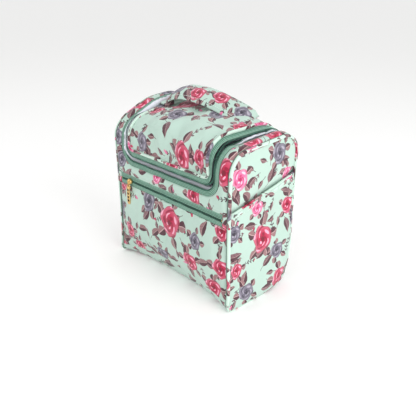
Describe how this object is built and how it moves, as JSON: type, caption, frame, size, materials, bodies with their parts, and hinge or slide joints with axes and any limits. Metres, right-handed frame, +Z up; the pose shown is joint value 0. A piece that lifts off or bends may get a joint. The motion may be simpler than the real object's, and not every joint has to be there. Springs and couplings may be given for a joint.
{
  "type": "toiletry bag",
  "caption": "Hanging toiletry bag in a padded floral-print fabric, with a zipped flap lid, a front zip pocket, side pockets, a carry handle and a fold-out hook.",
  "frame": {"origin": "centre of the bounding box's base, on the surface the bag stands on", "axes": "+Z up; +X along the width, from the bag's left side as seen from the front to its right; the front with the zip pocket faces -Y"},
  "size_m": [0.2394, 0.1366, 0.2566],
  "materials": {
    "print_fabric": "satin coated polyester, mint with a printed pattern of crimson and grey roses and mauve leaves",
    "zip_tape": "woven zip tape, sage green",
    "zip_coil": "nylon zip coil, dark green",
    "lining_fabric": "smooth white lining",
    "mesh_fabric": "soft grey mesh and elastic",
    "board": "stiffener board",
    "gold_metal": "polished light-gold plate",
    "hook_plastic": "moulded white plastic"
  },
  "bodies": {
    "body": {"front_pocket_panel": "print_fabric", "front_upper_panel": "print_fabric", "bottom_panel": "print_fabric", "back_panel": "print_fabric", "top_rim_left": "print_fabric", "top_rim_right": "print_fabric", "pocket_zip_tab_left": "print_fabric", "pocket_zip_tab_right": "print_fabric", "base_board": "board", "pocket_back_wall": "lining_fabric", "lining_floor": "lining_fabric", "lining_front": "lining_fabric", "lining_back": "lining_fabric", "lining_left": "lining_fabric", "lining_right": "lining_fabric", "bottle_elastic": "mesh_fabric", "side_panel_left": "print_fabric", "side_panel_right": "print_fabric", "side_pocket_left": "print_fabric", "side_pocket_right": "print_fabric", "side_pocket_hem_left": "print_fabric", "side_pocket_hem_right": "print_fabric", "side_pocket_gusset_left": "print_fabric", "side_pocket_gusset_right": "print_fabric", "side_piping_left": "print_fabric", "side_piping_right": "print_fabric", "pocket_zip_tape_lower": "zip_tape", "pocket_zip_tape_upper": "zip_tape", "pocket_zip_coil_lower": "zip_coil", "pocket_zip_coil_upper": "zip_coil", "pocket_zip_stop_left": "gold_metal", "pocket_zip_stop_right": "gold_metal", "body_zip_tape": "zip_tape", "body_zip_coil": "zip_coil"},
    "lid": {"lid_panel": "print_fabric", "lid_lining": "lining_fabric", "lid_piping": "print_fabric", "lid_zip_tape": "zip_tape", "lid_zip_coil": "zip_coil", "lid_mesh_pocket": "mesh_fabric", "lid_mesh_binding": "zip_tape", "handle_tab_left": "print_fabric", "handle_tab_right": "print_fabric"},
    "handle": {"handle_strap": "print_fabric"},
    "pocket_slider": {"pocket_slider": "gold_metal"},
    "pocket_link": {"pocket_pull_link": "gold_metal"},
    "pocket_leaf": {"pocket_pull_leaf": "gold_metal"},
    "lid_slider_left": {"lid_slider_left": "gold_metal"},
    "lid_pull_left": {"lid_pull_link_left": "gold_metal", "lid_pull_leaf_left": "gold_metal"},
    "lid_slider_right": {"lid_slider_right": "gold_metal"},
    "lid_pull_right": {"lid_pull_link_right": "gold_metal", "lid_pull_leaf_right": "gold_metal"},
    "hook_strap": {"hook_strap": "zip_tape", "hook_collar": "hook_plastic"},
    "hook": {"hook": "hook_plastic"}
  },
  "joints": [
    {"name": "lid_hinge", "type": "hinge", "parent": "body", "child": "lid", "pos_m": [0, 0.0616, 0.15], "axis": [-1, 0, 0], "range_deg": [-2.5, 177.5]},
    {"name": "handle_swing", "type": "hinge", "parent": "lid", "child": "handle", "pos_m": [0, 0.01784, 0.22276], "axis": [1, 0, 0], "range_deg": [-16, 16], "stiffness_Nm_per_rad": 0.02},
    {"name": "pocket_zip_slide", "type": "slide", "parent": "body", "child": "pocket_slider", "axis": [1, 0, 0], "range_m": [0, 0.179]},
    {"name": "pocket_pull_swing", "type": "hinge", "parent": "pocket_slider", "child": "pocket_link", "pos_m": [-0.082, -0.0654, 0.126], "axis": [-1, 0, 0], "range_deg": [0, 165]},
    {"name": "pocket_leaf_sway", "type": "hinge", "parent": "pocket_link", "child": "pocket_leaf", "pos_m": [-0.082, -0.0654, 0.115], "axis": [0, 1, 0], "range_deg": [-40, 40]},
    {"name": "lid_zip_slide_left", "type": "slide", "parent": "body", "child": "lid_slider_left", "axis": [0, 0, 1], "range_m": [0, 0.02]},
    {"name": "lid_pull_swing_left", "type": "hinge", "parent": "lid_slider_left", "child": "lid_pull_left", "pos_m": [-0.0957, 0.0654, 0.156], "axis": [1, 0, 0], "range_deg": [0, 160]},
    {"name": "lid_zip_slide_right", "type": "slide", "parent": "body", "child": "lid_slider_right", "axis": [0, 0, 1], "range_m": [0, 0.02]},
    {"name": "lid_pull_swing_right", "type": "hinge", "parent": "lid_slider_right", "child": "lid_pull_right", "pos_m": [0.0957, 0.0654, 0.156], "axis": [1, 0, 0], "range_deg": [0, 160]},
    {"name": "hook_swing", "type": "hinge", "parent": "body", "child": "hook_strap", "pos_m": [0, 0.0539, 0.148], "axis": [-1, 0, 0], "range_deg": [-2.1, 145]},
    {"name": "hook_swivel", "type": "hinge", "parent": "hook_strap", "child": "hook", "pos_m": [0, 0.0321, 0.11687], "axis": [0, -0.5736, -0.8192], "continuous": true}
  ],
  "couplings": [
    {"joint": "hook_swing", "follows": "lid_hinge", "ratio": 0.81}
  ]
}
